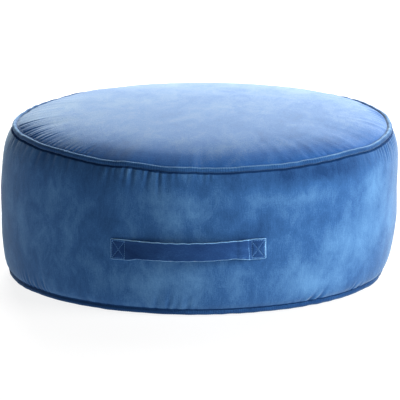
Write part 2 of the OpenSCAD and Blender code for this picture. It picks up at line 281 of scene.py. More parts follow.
def velvet(
    name, stops, streak=(1.0, 0.72, 1.0), sheen=0.33, tint=(0.76, 0.92, 0.92), ribs=(1.0, 0.25, 1.0),
    mottle=1.0,
):
    """Brushed cotton velvet: patches where the nap lies differently, brush marks and a fine pile, plus the
    painted light and shade that each piece passes in through its nap_and_light attribute.
    """
    n = Nodes(name)
    at = n.attribute("cloth", "Vector")
    nap_and_light = n.attribute("nap_and_light", "Fac")
    broad = n.noise(at, 6.0, 2.0, 0.5, 0.6)
    middle = n.noise(n.scaled(at, streak), 32.0, 5.0, 0.62, 0.5)
    marks = n.noise(n.scaled(at, ribs), 420.0, 2.0, 0.5)
    pile = n.noise(n.scaled(at, [0.35 + 0.65 * part for part in streak]), 560.0, 3.0, 0.6)
    value = 0.0
    for layer, weight in ((broad, 0.8 * mottle), (middle, mottle), (marks, 0.3), (pile, 0.5)):
        value = n.math("ADD", value, n.math("MULTIPLY", n.math("SUBTRACT", layer, 0.5), weight))
    value = n.math("ADD", n.math("ADD", value, nap_and_light), 0.5, clamp=True)
    colour = n.ramp(value, stops)
    normal = n.bump(pile, 0.0006, 0.5, Normal=n.bump(marks, 0.0008, 0.25))
    return n.surface(
        Base_Color=colour, Roughness=0.9, Specular_IOR_Level=0.05, Normal=normal,
        Sheen_Weight=sheen, Sheen_Roughness=0.40, Sheen_Tint=(*tint, 1.0),
    )


BODY_STOPS = [(0.0, (0.010, 0.043, 0.135)), (0.5, (0.028, 0.097, 0.255)), (1.0, (0.085, 0.210, 0.410))]
VELVET_SIDE = velvet("velvet_side", BODY_STOPS)
# The top's velvet has its own colours: its pale end gives the painted light towards the back of the top
TOP_STOPS = [(0.0, (0.010, 0.052, 0.185)), (0.5, (0.022, 0.108, 0.340)), (1.0, (0.125, 0.215, 0.370))]
VELVET_TOP = velvet("velvet_top", TOP_STOPS, (1.1, 0.6, 1.0), 0.26, (0.79, 0.96, 0.92), (0.6, 0.6, 1.0), 0.85)
VELVET_PIPING = velvet("velvet_piping", BODY_STOPS, (1.0, 1.0, 1.0), 0.33, (0.62, 0.86, 1.0), (1.0, 1.0, 1.0))
# Painted shade for the crevices at the piped seams: a darker velvet without sheen
CREASE_SHADE_STOPS = [(0.0, (0.004, 0.022, 0.080)), (1.0, (0.012, 0.050, 0.150))]
VELVET_CREASE_SHADE = velvet("velvet_painted_crease_shade", CREASE_SHADE_STOPS, sheen=0.0)
# The strap's last stop is the colour of the painted highlights on its rims, tips and fold
STRAP_STOPS_AND_HIGHLIGHT = [
    (0.0, (0.006, 0.026, 0.100)), (0.5, (0.015, 0.054, 0.170)), (0.74, (0.028, 0.090, 0.245)),
    (1.0, (0.20, 0.42, 0.70)),
]
VELVET_STRAP = velvet("velvet_strap", STRAP_STOPS_AND_HIGHLIGHT, (0.6, 1.0, 1.0), 0.25, ribs=(0.5, 1.0, 1.0))


def woven(name, thread, gap, count):
    """Plain cloth with its threads: count is the threads in a metre."""
    n = Nodes(name)
    at = n.attribute("cloth", "Vector")
    turns = n.scaled(at, (count, count, 0.0))
    parts = n.add("ShaderNodeSeparateXYZ", {0: turns})
    sines = [n.math("SINE", n.math("MULTIPLY", parts.outputs[k], math.pi)) for k in (0, 1)]
    weave = n.math("MULTIPLY", *(n.math("ABSOLUTE", sine) for sine in sines))
    slub = n.noise(at, count * 0.08, 3.0, 0.6)
    value = n.math("ADD", n.math("MULTIPLY", weave, 0.55), n.math("MULTIPLY", slub, 0.5), clamp=True)
    colour = n.ramp(value, [(0.1, gap), (0.8, thread)])
    normal = n.bump(weave, 0.5 / count, 0.6, Normal=n.bump(slub, 1.0 / count, 0.3))
    return n.surface(
        Base_Color=colour, Roughness=0.85, Specular_IOR_Level=0.2, Sheen_Weight=0.15, Normal=normal
    )


CALICO = woven("calico", (0.80, 0.75, 0.64), (0.58, 0.52, 0.41), 1100)
WEBBING = woven("webbing", (0.74, 0.69, 0.58), (0.45, 0.40, 0.30), 520)
TAPE = woven("zip_tape", (0.020, 0.060, 0.190), (0.006, 0.018, 0.070), 900)
COTTON = woven("cotton_cord", (0.78, 0.74, 0.64), (0.50, 0.46, 0.37), 700)


def speckled(name, low, high, scale, roughness, bump, **inputs):
    """A material with fine mottling, read in the object's own frame."""
    n = Nodes(name)
    at = n.add("ShaderNodeTexCoord").outputs["Object"]
    fine = n.noise(at, scale, 4.0, 0.65)
    broad = n.noise(at, scale * 0.06, 2.0)
    value = n.math("ADD", n.math("MULTIPLY", fine, 0.7), n.math("MULTIPLY", broad, 0.3), clamp=True)
    colour = n.ramp(value, [(0.3, low), (0.7, high)])
    return n.surface(Base_Color=colour, Roughness=roughness, Normal=n.bump(fine, bump, 0.6), **inputs)


WADDING = speckled("wadding", (0.78, 0.78, 0.76), (0.95, 0.95, 0.93), 160, 0.95, 0.004, Sheen_Weight=0.3)
FOAM = speckled("foam", (0.70, 0.58, 0.33), (0.90, 0.82, 0.58), 420, 0.9, 0.0015)
THREAD = speckled(
    "thread", (0.055, 0.160, 0.370), (0.105, 0.250, 0.510), 2500, 0.8, 0.0002, Specular_IOR_Level=0.15
)
COIL = speckled("zip_coil", (0.010, 0.030, 0.110), (0.020, 0.055, 0.170), 1500, 0.38, 0.00005)
NICKEL = speckled("zip_nickel", (0.42, 0.42, 0.43), (0.62, 0.62, 0.63), 700, 0.3, 0.00003, Metallic=1.0)

# ---- The seams, which every piece of the cover follows ----

VIEW_TURN = 3.2
FRONT = 270.0 + VIEW_TURN


def lean(height):
    """The cushion stands a little askew: its foot is off to one side and its top to the other."""
    heights_mm, shifts = [0, 33, 64, 92, 135, 158, 189, 225], [-4.7, -2.7, -1.6, 0, 0, 1.4, 3.2, 5.2]
    return np.interp(height, heights_mm, shifts)


def near_zip(angle):
    """1 over the zip's run round the back, fading out just past its ends."""
    return ease((np.sin(angle) - 0.45) / 0.05)


def askew(points):
    """Shifts points sideways by the cushion's lean."""
    points = np.array(points, float)
    points[..., 0] += lean(points[..., 2])
    return points


# How the top seam rises and dips on its way round: degrees from the front, spread in degrees, and millimetres
SEAM_SWELLS = [
    (17, 10, 0.7), (46, 11, 2.6), (80, 18, -1.4), (112, 16, 1.2), (180, 34, -6.2),
    (240, 16, -1.2), (277, 11, 3.2), (298, 17, 5.4), (315, 13, 3.0), (336, 14, 3.7),
]


def seam_rise(angle):
    """The top seam dips above the handle and at the back, and rides up at the sides."""
    swell = sum(height * near_angle(angle, FRONT + turn, spread) for turn, spread, height in SEAM_SWELLS)
    return swell + 0.5 * wavy(angle, 11, 5, 26) + 0.25 * wavy(angle, 12, 40, 90)


def sway(angle, radius):
    """The top's fill has moved a little towards the handle's side."""
    part = min(1.0, radius / (SEAM_R - 4.6))
    return 1.6 * part**2 * (1 - part**10) * np.cos(angle - math.radians(FRONT))


def seam_drift(angle):
    return 0.5 * wavy(angle, 13, 5, 24)


def foot_drift(angle):
    return 0.6 * wavy(angle, 14, 5, 24)


# Side profile, from the bottom piping up to the top one, and top profile, from the rim to the middle
SIDE = smooth_curve([
    (FOOT_R + 2.1, FOOT_Z + 2.5), (FOOT_R + 3.9, FOOT_Z + 4.4), (FOOT_R + 6.0, FOOT_Z + 7.4),
    (FOOT_R + 9.4, 19), (293, 35), (297, 66), (299.2, 100), (300, 135), (299.8, 168), (298.8, 188),
    (297.2, 199), (294.8, 207.4), (SEAM_R + 8.2, SEAM_Z - 11.2), (SEAM_R + 6.2, SEAM_Z - 7.0),
    (SEAM_R + 4.1, SEAM_Z - 4.3), (SEAM_R + 1.9, SEAM_Z - 2.7),
])
TOP = smooth_curve([
    (SEAM_R - 3.0, SEAM_Z + 1.6), (SEAM_R - 5.2, SEAM_Z + 3.1), (SEAM_R - 9.0, SEAM_Z + 5.4),
    (264, 235.0), (247, 240.2), (223, 244.8), (192, 248.8), (150, 252.0), (100, 254.4), (50, 255.6),
    (0, CROWN_Z),
])
SIDE_LEN = run_length(SIDE)[-1]
TOP_LEN = run_length(TOP)[-1]


def side_rows():
    """Distances up the side: close together at both ends, and with a row on each edge of the zip."""
    coarse, ramp = 6.0, 60
    steps = [0.0]
    while steps[-1] < SIDE_LEN / 2:
        wider = (coarse - FINE_ROW) * max(0.0, 2 * min(1.0, steps[-1] / ramp) - 1)
        steps.append(steps[-1] + FINE_ROW + wider)
    half = np.array(steps) * (SIDE_LEN / 2) / steps[-1]
    rows = np.r_[half, (SIDE_LEN - half[::-1])[1:]]
    for height in (ZIP_LOW, ZIP_HIGH):
        exact = np.interp(height, SIDE[:, 1], run_length(SIDE))
        rows[np.argmin(abs(rows - exact))] = exact
    return rows


def top_rows():
    """Distances from the rim to the middle, and each ring's count of points, halved as the rings shrink."""
    rows, cols = [0.0], [COLS]
    count = COLS
    while rows[-1] < TOP_LEN - 6:
        radius = along(TOP, [rows[-1]])[0, 0]
        step = min(8.0, FINE_ROW + max(0.0, rows[-1] - 36) * 0.12)
        rows.append(rows[-1] + step)
        if rows[-1] > 46 and TAU * radius / count < step * 0.62 and count % 2 == 0 and count > 15:
            count //= 2
        cols.append(count)
    return np.array(rows), cols


def eased(base, *bumps):
    """How much cloth is eased into a seam: a base, and bumps of (degrees, spread in degrees, amount)."""
    return base + sum(amount * near_angle(THETA, at, wide) for at, wide, amount in bumps)


def build_shell():
    """Band and top in one sheet, joined at the top seam, with how each point is held and how slack it is."""
    verts, faces, hold, slack, cloth = [], [], [], [], []

    def ring(radius, height, held, loose, kind, run):
        count = len(radius)
        angle = np.arange(count) * TAU / count
        base = sum(len(v) for v in verts)
        verts.append(arc_point(radius, angle, height))
        hold.append(np.broadcast_to(held, count))
        slack.append(np.broadcast_to(loose, count))
        flat = points_of(angle * WIDE_R, run, 0) if kind == "side" else arc_point(radius, angle, TOP_CUT)
        cloth.append(flat * MM)
        return base

    def knit(a, na, b, nb):
        """Faces between two rings. The second has as many points as the first, or half as many."""
        for i in range(nb):
            j = (i + 1) % nb
            if na == nb:
                faces.append((a + i, a + j, b + j, b + i))
            else:
                faces.append((a + 2 * i, a + 2 * i + 1, a + (2 * i + 2) % na, b + j, b + i))

    under_rim = eased(0.2, (250, 28, 0.2), (350, 12, 0.3), (60, 25, 0.3), (130, 22, 0.3))
    over_foot = eased(0.25, (217, 8, 0.4), (268, 9, 0.4), (306, 10, 0.4), (95, 20, 0.4), (165, 12, 0.4))
    inside_rim = eased(0.05, (206, 16, 0.05))
    fold_rim = wavy(THETA, 21, 95, 190, 40)
    fold_foot = wavy(THETA, 22, 90, 190, 40)
    fold_top = wavy(THETA, 23, 110, 210, 40)

    rise, drift, foot = seam_rise(THETA), seam_drift(THETA), foot_drift(THETA)
    rows = side_rows()
    strap_zone = near_angle(THETA, 270, 26)
    belly = near_angle(THETA, FRONT + 82, 26)
    last = None
    for run, (radius, height) in zip(rows, along(SIDE, rows)):
        from_top, from_foot = SIDE_LEN - run, run
        up = ease((height - 60) / (SEAM_Z - 65))
        down = 1 - ease(height / 60)
        r = radius + drift * up + foot * down + 1.3 * belly * math.exp(-(((height - 78) / 42) ** 2))
        r = r + 0.55 * under_rim * fold_rim * math.exp(-from_top / 26) * min(1, from_top / 5)
        r = r + 0.35 * over_foot * fold_foot * math.exp(-from_foot / 20) * min(1, from_foot / 5)
        z = height + rise * up
        held = np.full(COLS, SOFT_HOLD)
        at_strap = strap_zone * math.exp(-(((height - STRAP_Z) / 30) ** 2))
        at_zip = near_zip(THETA) * math.exp(-(((height - ZIP_Z) / 16) ** 2))
        held = held + 0.45 * np.maximum(at_strap, at_zip)
        if run in (rows[0], rows[-1]):
            held[:] = 1.0
        loose = np.maximum(under_rim * math.exp(-from_top / 24), over_foot * math.exp(-from_foot / 18))
        base = ring(r, z, held, loose, "side", run)
        if last is not None:
            knit(last, COLS, base, COLS)
        last = base
    last_count = COLS
    rows_top, counts = top_rows()
    for run, count, (radius, height) in zip(rows_top, counts, along(TOP, rows_top)):
        skip = COLS // count
        near = (radius / SEAM_R) ** 2
        r = radius + drift[::skip] * near
        z = height + rise[::skip] * near * near + sway(THETA[::skip], radius)
        z = z + 0.6 * (inside_rim * fold_top)[::skip] * math.exp(-((run / 34) ** 2)) * min(1, run / 5)
        loose = (inside_rim * math.exp(-((run / 34) ** 2)))[::skip]
        base = ring(r, z, SOFT_HOLD if run else 1.0, loose, "top", run)
        knit(last, last_count, base, count)
        last, last_count = base, count
    centre = ring(np.zeros(1), np.array([CROWN_Z]), SOFT_HOLD, 0.0, "top", TOP_LEN)
    faces += [(last + i, last + (i + 1) % last_count, centre) for i in range(last_count)]
    return np.vstack(verts), faces, np.concatenate(hold), np.concatenate(slack), np.vstack(cloth), rows


def relax(verts_mm, faces, hold, slack):
    """Runs Blender's cloth on the shell: inner pressure swells it, and the slack at the seams folds up."""
    mesh = bpy.data.meshes.new("cover_cloth")
    mesh.from_pydata([tuple(v) for v in verts_mm * MM], [], faces)
    mesh.update()
    obj = bpy.data.objects.new("cover_cloth", mesh)
    scene = bpy.context.scene
    scene.collection.objects.link(obj)
    groups = {"held": np.round(hold, 2), "taut": np.round(1 - np.clip(slack, 0, 1), 2)}
    for name, weights in groups.items():
        group = obj.vertex_groups.new(name=name)
        for weight in np.unique(weights):
            group.add(np.flatnonzero(weights == weight).tolist(), float(weight), "REPLACE")
    cloth = obj.modifiers.new("cloth", "CLOTH")
    settings = {
        "quality": 4, "mass": 0.001, "air_damping": 2,
        "tension_stiffness": 15, "compression_stiffness": 15, "shear_stiffness": 5, "bending_stiffness": 0.01,
        "tension_damping": 5, "compression_damping": 5, "shear_damping": 5,
        "use_pressure": True, "uniform_pressure_force": 5, "pin_stiffness": 1, "vertex_group_mass": "held",
        "vertex_group_shrink": "taut", "shrink_min": -0.11, "shrink_max": 0.0,
    }
    for key, value in settings.items():
        setattr(cloth.settings, key, value)
    cloth.settings.effector_weights.gravity = 0
    cloth.collision_settings.use_collision = False
    cloth.collision_settings.use_self_collision = False
    frames = 8
    cloth.point_cache.frame_start, cloth.point_cache.frame_end = 1, frames
    for number in range(1, frames + 1):
        scene.frame_set(number)
    result = obj.evaluated_get(bpy.context.evaluated_depsgraph_get()).data
    out = np.empty(len(result.vertices) * 3)
    result.vertices.foreach_get("co", out)
    bpy.data.objects.remove(obj)
    bpy.data.meshes.remove(mesh)
    scene.frame_set(1)
    return out.reshape(-1, 3) / MM


shell, shell_faces, shell_hold, shell_slack, shell_cloth, SIDE_ROWS = build_shell()
shell = relax(shell, shell_faces, shell_hold, shell_slack)

# Pleats: degrees from the front, half spread in degrees, spacing, length and depth in mm, and their slant
PLEATS = {
    "under_rim": [
        (-50, 12, 17, 34, 1.7, 0.10), (-22, 12, 13, 38, 2.4, 0.03), (-4, 9, 11, 26, 1.1, 0.0),
        (-72, 10, 18, 26, 1.2, 0.1), (22, 16, 13, 20, 0.6, -0.1), (76, 13, 9, 34, 1.3, -0.1),
        (118, 20, 13, 36, 1.3, 0.1), (170, 26, 14, 34, 1.2, 0.0), (232, 24, 13, 36, 1.4, 0.0),
    ],
    "over_foot": [
        (-58, 10, 11, 30, 1.6, -0.15), (-8, 8, 15, 28, 2.2, 0.1), (25.5, 1.6, 14, 22, 1.6, 0.3),
        (38, 5.5, 17, 24, 4.2, 0.5), (56, 4, 15, 20, 2.4, 0.4), (-32, 10, 18, 20, 0.9, 0.0),
        (85, 14, 13, 24, 1.2, 0.0), (120, 20, 12, 28, 1.4, 0.2), (176, 24, 13, 28, 1.3, 0.0),
        (236, 20, 12, 28, 1.4, -0.2),
    ],
    "inside_rim": [
        (-70, 18, 11, 42, 1.5, 0.05), (-44, 8, 9, 24, 1.1, 0.1), (40, 16, 18, 20, 0.6, 0.0),
        (104, 12, 11, 34, 1.3, 0.1), (150, 14, 12, 36, 1.5, -0.1), (205, 12, 11, 34, 1.4, 0.1),
    ],
}


def pleated(angle, away, place, seed):
    """How far the cloth stands out at each point (in mm), from its angle and its distance from the seam."""
    rng = np.random.default_rng(seed)
    out = np.zeros(angle.shape)
    for turn, spread, spacing, length, depth, slant in PLEATS[place]:
        reach = math.radians(spread) * SEAM_R
        at = -reach
        while at < reach:
            fade = math.exp(-((at / reach) ** 4) * 1.2)
            long, deep = length * rng.uniform(0.6, 1.3), depth * fade * rng.uniform(0.55, 1.15)
            wide, lean_by = spacing * rng.uniform(0.17, 0.27), slant + rng.normal(0, 0.05)
            centre = math.radians(FRONT + turn) + at / SEAM_R
            across = ((angle - centre + math.pi) % TAU - math.pi) * SEAM_R - lean_by * away
            broad = wide * (1 + 0.4 * np.clip(away / long, 0, 1))
            taper = np.clip(1 - away / long, 0, 1) ** 1.2 * np.clip(away / 3.0, 0.3, 1)
            groove = np.exp(-((across / broad) ** 2))
            ridge = np.exp(-(((abs(across) - 1.9 * broad) / broad) ** 2))
            out += deep * taper * (0.3 * ridge - groove)
            at += spacing * rng.uniform(0.7, 1.35)
    return out


def add_pleats():
    """Presses the pleats into the shell, and returns how far the side and the top moved."""
    rows = np.repeat(SIDE_ROWS, COLS)
    side, top = shell[:N_SIDE], shell[N_SIDE:]
    radius, angle = polar(side)
    clear = 1 - near_zip(angle) * np.exp(-(((side[:, 2] - ZIP_Z) / 25) ** 2))
    out = (pleated(angle, SIDE_LEN - rows, "under_rim", 91) + pleated(angle, rows, "over_foot", 92)) * clear
    out *= np.clip(np.minimum(rows, SIDE_LEN - rows) / 3.0, 0, 1)
    side[:, :2] *= (1 + out / radius)[:, None]
    radius, angle = polar(top)
    away = SEAM_R - 3.2 - radius
    up = pleated(angle, away, "inside_rim", 93) * np.clip(away / 3.0, 0, 1)
    top[:, 2] += up
    return out.reshape(-1, COLS), up


def true_zip_edges():
    """Beside the zip the cloth keeps to the height and curve of the tape."""
    points = shell[:N_SIDE].reshape(len(SIDE_ROWS), COLS, 3)
    row_z = along(SIDE, SIDE_ROWS)[:, 1]
    radius = polar(points)[0]
    shift, lift = np.zeros(radius.shape), np.zeros(radius.shape)
    for rim, rows in ((ZIP_LOW, row_z <= ZIP_LOW + 0.1), (ZIP_HIGH, row_z >= ZIP_HIGH - 0.1)):
        edge = int(np.argmin(abs(row_z - rim)))
        near = (rows * np.exp(-(((row_z - rim) / 11) ** 2)))[:, None] * near_zip(THETA)
        shift += (np.interp(rim, SIDE[:, 1], SIDE[:, 0]) - radius[edge]) * near
        lift += (rim - points[edge, :, 2]) * near
    points[..., 2] += lift
    points[..., :2] *= (1 + shift / radius)[..., None]


N_SIDE = len(SIDE_ROWS) * COLS
SHADED_CREASE_ROWS = 2
ZIP_HEM = 5
SIDE_PLEATED, TOP_PLEATED = add_pleats()
true_zip_edges()
shell = askew(shell)

# Places where the side's pile lies another way, mixed with painted light on the right side and painted shade
# under the top seam and round the back: degrees from the front, height, their spreads, how light
NAP_AND_LIGHT_PATCHES = [
    (-7, 183, 9, 13, 0.26), (-3, 160, 8, 15, 0.30), (-12, 45, 15, 24, 0.16), (33, 176, 8, 10, 0.22),
    (63, 170, 8, 22, 0.20), (50, 96, 16, 40, 0.46), (38, 34, 16, 20, 0.40), (31, 62, 9, 22, 0.22),
    (72, 120, 10, 50, 0.20), (40, 132, 7, 20, -0.16), (12, 209, 14, 15, -0.18), (42, 214, 26, 20, -0.50),
    (12, 122, 8, 26, -0.12), (-62, 120, 16, 60, 0.06), (17, 132, 7, 30, -0.10), (10, 60, 12, 26, 0.12),
    (64, 120, 9, 60, 0.08), (180, 120, 62, 200, -0.46),
]


def side_nap_and_light(angle, height):
    value = np.zeros(np.shape(angle))
    for turn, at, wide, tall, light in NAP_AND_LIGHT_PATCHES:
        value = value + light * near_angle(angle, FRONT + turn, wide) * np.exp(-(((height - at) / tall) ** 2))
    return value


def fold_under(points, cloth, pleat_shading, zip_side):
    """Turns the edge beside the zip in behind itself. zip_side is 1 above the zip and -1 below it."""
    edge, edge_cloth = (points[0], cloth[0]) if zip_side > 0 else (points[-1], cloth[-1])
    radius = polar(edge)[0]
    turned, turned_cloth = [], []
    for k, (inward, up) in enumerate(((0.25, 0.35), (0.9, 0.6), (1.6, 0.3), (2.0, -0.8), (2.1, -5.0)), 1):
        turned.append(np.c_[edge[:, :2] * ((radius - inward) / radius)[:, None], edge[:, 2] - zip_side * up])
        turned_cloth.append(edge_cloth - [0, zip_side * k * 0.8 * MM, 0])
    added = (np.array(turned), np.array(turned_cloth), np.zeros((len(turned), pleat_shading.shape[1])))
    pairs = zip((points, cloth, pleat_shading), added)
    if zip_side > 0:
        return [np.concatenate([new[::-1], old]) for old, new in pairs]
    return [np.concatenate([old, new]) for old, new in pairs]


def cover_bands():
    """Cuts the side of the shell into the three pieces that are sewn together."""
    first, last = round(REAR_START / TAU * COLS), round(REAR_END / TAU * COLS)
    row_z = along(SIDE, SIDE_ROWS)[:, 1]
    low_row, high_row = (int(np.argmin(abs(row_z - rim))) for rim in (ZIP_LOW, ZIP_HIGH))
    points, cloth = (grid[:N_SIDE].reshape(len(SIDE_ROWS), COLS, 3) for grid in (shell, shell_cloth))
    front, rear = np.r_[last:COLS, 0 : first + 1], np.arange(first, last + 1)
    pieces = (
        ("band_front", slice(None), front, 0),
        ("band_rear_upper", slice(high_row, None), rear, 1),
        ("band_rear_lower", slice(None, low_row + 1), rear, -1),
    )
    out = []
    for name, in_rows, in_cols, zip_side in pieces:
        pts, clo, pleat_shading = (grid[in_rows][:, in_cols].copy() for grid in (points, cloth, SIDE_PLEATED))
        radius, turn = polar(pts)
        turn = np.unwrap(turn, axis=1)
        clo[..., 0] = turn * WIDE_R * MM
        # The cloth pulls in at the upright seams at both ends of the zip panel, and along the zip's stitching
        from_seam = np.minimum(abs(turn - turn[:, :1]), abs(turn - turn[:, -1:])) * WIDE_R
        drawn = radius - 1.6 * np.exp(-((from_seam / 3.0) ** 2))
        if zip_side:
            stitched = (ZIP_HIGH if zip_side > 0 else ZIP_LOW) + zip_side * ZIP_HEM
            drawn = drawn - 0.5 * np.exp(-(((pts[..., 2] - stitched) / 1.5) ** 2))
        pts[..., :2] *= (drawn / radius)[..., None]
        if zip_side:
            pts, clo, pleat_shading = fold_under(pts, clo, pleat_shading, zip_side)
        rows, cols = pleat_shading.shape
        # Painted shade in the pleats' grooves and a little painted light on their ridges
        nap_and_light = side_nap_and_light(polar(pts)[1], pts[..., 2]) + 0.10 * pleat_shading
        faces, node = grid_faces(rows, cols), "side_" + name
        obj = make(name, pts.reshape(-1, 3), faces, "cover", node, VELVET_SIDE, "velvet", clo, nap_and_light)
        # Painted shade: a darker copy of the velvet, without sheen, on the rows where the cloth dips into a
        # piped seam
        obj.data.materials.append(VELVET_CREASE_SHADE)
        crease_shaded = np.zeros((rows - 1, cols - 1), np.int32)
        if zip_side <= 0:
            crease_shaded[:SHADED_CREASE_ROWS] = 1
        if zip_side >= 0:
            crease_shaded[-SHADED_CREASE_ROWS:] = 1
        obj.data.polygons.foreach_set("material_index", crease_shaded.ravel())
        out.append(obj)
    return out


def cover_top():
    """Cuts the top out of the shell."""
    faces = [[i - N_SIDE for i in face] for face in shell_faces if min(face) >= N_SIDE]
    pts, clo = shell[N_SIDE:], shell_cloth[N_SIDE:]
    radius, turn = polar(pts)
    # Painted light towards the back of the top, painted shade near the rim and at the right front, and
    # painted shade in the pleats' grooves
    nap_and_light = 0.02 - 0.06 * ease((radius - 225) / 45) + 0.13 * ease((pts[:, 1] + 250) / 380)
    nap_and_light = nap_and_light - 0.05 * near_angle(turn, FRONT + 52, 34) * ease((radius - 120) / 80) + 0.10 * TOP_PLEATED
    return make("top_cover", pts, faces, "cover", "top_panel", VELVET_TOP, "velvet", clo, nap_and_light)


cover_pieces = cover_bands() + [cover_top()]
for piece in cover_pieces:
    thicken(piece, PLY)

# ---- Underside ----


def bottom_cover():
    edge_r, low_z, count = FOOT_R - 4.4, 0.15, 480
    radii = np.r_[np.geomspace(6, REST_R, 26), np.linspace(REST_R, edge_r, 14)[1:]]
    angle = np.arange(count) * TAU / count
    folds = wavy(angle, 31, 60, 140, 40)
    verts, cloth = [], []
    for radius in radii:
        rising = np.clip((radius - REST_R) / (edge_r - REST_R), 0, 1)
        z = low_z + (FOOT_Z - 1.7) * rising**2 + 0.5 * abs(folds) * rising * (1.2 - rising)
        verts.append(arc_point(radius + foot_drift(angle) * rising, angle, np.maximum(z, 0.1)))
        cloth.append(arc_point(radius, angle, BOTTOM_CUT) * MM)
    centre = count * len(radii)
    verts = askew(np.vstack(verts + [[[0, 0, low_z]]]))
    cloth = np.vstack(cloth + [[[0, 0, BOTTOM_CUT * MM]]])
    faces = grid_faces(len(radii), count, closed_cols=True)
    faces += [(centre, (i + 1) % count, i) for i in range(count)]
    nap_and_light = np.full(len(verts), -0.1)
    obj = make("bottom_cover", verts, faces, "cover", "bottom_panel", VELVET_TOP, "velvet", cloth, nap_and_light)
    thicken(obj, 1.0)


bottom_cover()

# ---- Piping: bias velvet round a twisted cord ----


def tube(name, centre_r, centre_z, angle, radius, sides, node, material, slot, nap_and_light=None):
    """A closed ring of tube. radius(angle, turn) gives its radius at each point round it."""
    a, t = np.meshgrid(angle, np.arange(sides) * TAU / sides, indexing="ij")
    rad = radius(a, t)
    verts = arc_point(centre_r[:, None] + rad * np.cos(t), a, centre_z[:, None] + rad * np.sin(t))
    cloth = points_of(a * centre_r.mean(), t * PIPE_R, PIPING_CUT) * MM
    shade = None if nap_and_light is None else nap_and_light(a, t)
    faces = [f[::-1] for f in grid_faces(len(angle), sides, closed_cols=True, closed_rows=True)]
    return make(name, askew(verts.reshape(-1, 3)), faces, "cover", node, material, slot, cloth, shade)


def pipings():
    count, ticks, sides = 3000, 520, 14
    angle = np.arange(count) * TAU / count

    def cover(seed):
        """The piping's radius: slanting ribs of bias-cut velvet over the cord."""
        def radius(a, t):
            drift = 6 * wavy(a[:, 0], seed, 3, 30)[:, None]
            depth = 0.6 + 0.4 * wavy(a[:, 0], seed + 1, 20, 90)[:, None]
            rib = np.sin(ticks * a + drift + 1.1 * np.sin(t)) * depth
            swell = 0.22 * wavy(a[:, 0], seed + 2, 20, 80)[:, None]
            return PIPE_R - 0.45 + 0.11 * rib + swell * 0.6
        return radius

    def strand(a, t):
        return CORD_R - 0.35 + 0.3 * abs(np.sin(1.5 * t + 210 * a))

    def lit(shade_by):
        """The piping's nap and painted light: ticks along it, a painted highlight over its crown and painted
        shade below it, deeper still by shade_by.
        """
        def nap_and_light(a, t):
            tick = 0.10 * np.sin(ticks * a + 6 * wavy(a[:, 0], 41, 3, 30)[:, None])
            return shade_by - 0.34 + tick + 0.80 * np.exp(-(((t - math.radians(78)) / math.radians(24)) ** 2))
        return nap_and_light

    for name, centre_r, centre_z, seed, shade_by in (
        ("top_piping", SEAM_R + seam_drift(angle), SEAM_Z + seam_rise(angle), 41, 0.0),
        ("bottom_piping", FOOT_R + foot_drift(angle), np.full(count, FOOT_Z), 51, -0.22),
    ):
        tube(
            name, centre_r, centre_z, angle, cover(seed), sides, name + "_cover", VELVET_PIPING, "velvet",
            lit(shade_by),
        )
        core = [row[::2] for row in (centre_r, centre_z, angle)]
        tube(name + "_core", *core, strand, 12, name + "_cord", COTTON, "cotton_cord")


pipings()

# ---- Strap handle ----


def strap_path():
    """Line of the strap's inner face, seen from above: places, outward directions and distances along it."""
    skin = WIDE_R + 0.1
    surface_y = math.sqrt(skin**2 - STRAP_FREE**2)
    inner_y = STRAP_OUT - STRAP_T
    bow = inner_y - surface_y
    bow_r = (STRAP_FREE**2 + bow**2) / (2 * bow)
    middle_y = inner_y - bow_r
    end_angle = math.asin(STRAP_HALF / (skin + STRAP_T))
    free_angle = math.asin(STRAP_FREE / skin)
    tab = np.linspace(-end_angle, -free_angle, 26)
    left = (WIDE_R + 0.15) * np.stack([np.sin(tab), -np.cos(tab)], 1)
    reach = math.asin((STRAP_FREE - 6) / bow_r)
    arc = np.linspace(-reach, reach, 120)
    free = np.stack([bow_r * np.sin(arc), -middle_y - bow_r * np.cos(arc)], 1)
    # The right end lifts off its stitching in a tighter fold than the left one
    free[:, 1] -= 1.9 * np.exp(-(((free[:, 0] - 82) / 5) ** 2))
    right = left[::-1] * [-1, 1]
    path = smooth_curve(np.vstack([left[::5], free[::6], right[::5]]))
    distance = np.linspace(0, run_length(path)[-1], 250)
    path = along(path, distance)
    tangent = unit(np.gradient(path, axis=0))
    outward = np.stack([tangent[:, 1], -tangent[:, 0]], 1)
    return path, outward, distance


PATH, OUTWARD, DISTANCE = strap_path()
TAB_LEN = 24.0
STRAP_TILT = 0.017


def on_strap(centre, outward, across, depth, sag=0.0):
    """Points on the strap, which is sewn on out of level: across is up, depth is out from its inner face."""
    x = centre[0] + outward[0] * depth
    return points_of(x, centre[1] + outward[1] * depth, STRAP_Z + STRAP_TILT * x + sag + across)


def stitch_lines():
    """The box and cross on one sewn end, as pairs of places: distance from the strap's tip, and across."""
    near, far, high = 2.5, TAB_LEN - 0.9, STRAP_W / 2 - 2.7
    corners = [(near, -high), (near, high), (far, high), (far, -high)]
    sides = list(zip(corners, corners[1:] + corners[:1]))
    return sides + [((near, -high), (far, high)), ((near, high), (far, -high))]


def distance_to_stitches(tip, across):
    best = np.full(across.shape, 99.0)
    for (x0, y0), (x1, y1) in stitch_lines():
        dx, dy = x1 - x0, y1 - y0
        t = np.clip(((tip - x0) * dx + (across - y0) * dy) / (dx * dx + dy * dy), 0, 1)
        best = np.minimum(best, np.hypot(tip - x0 - t * dx, across - y0 - t * dy))
    return best


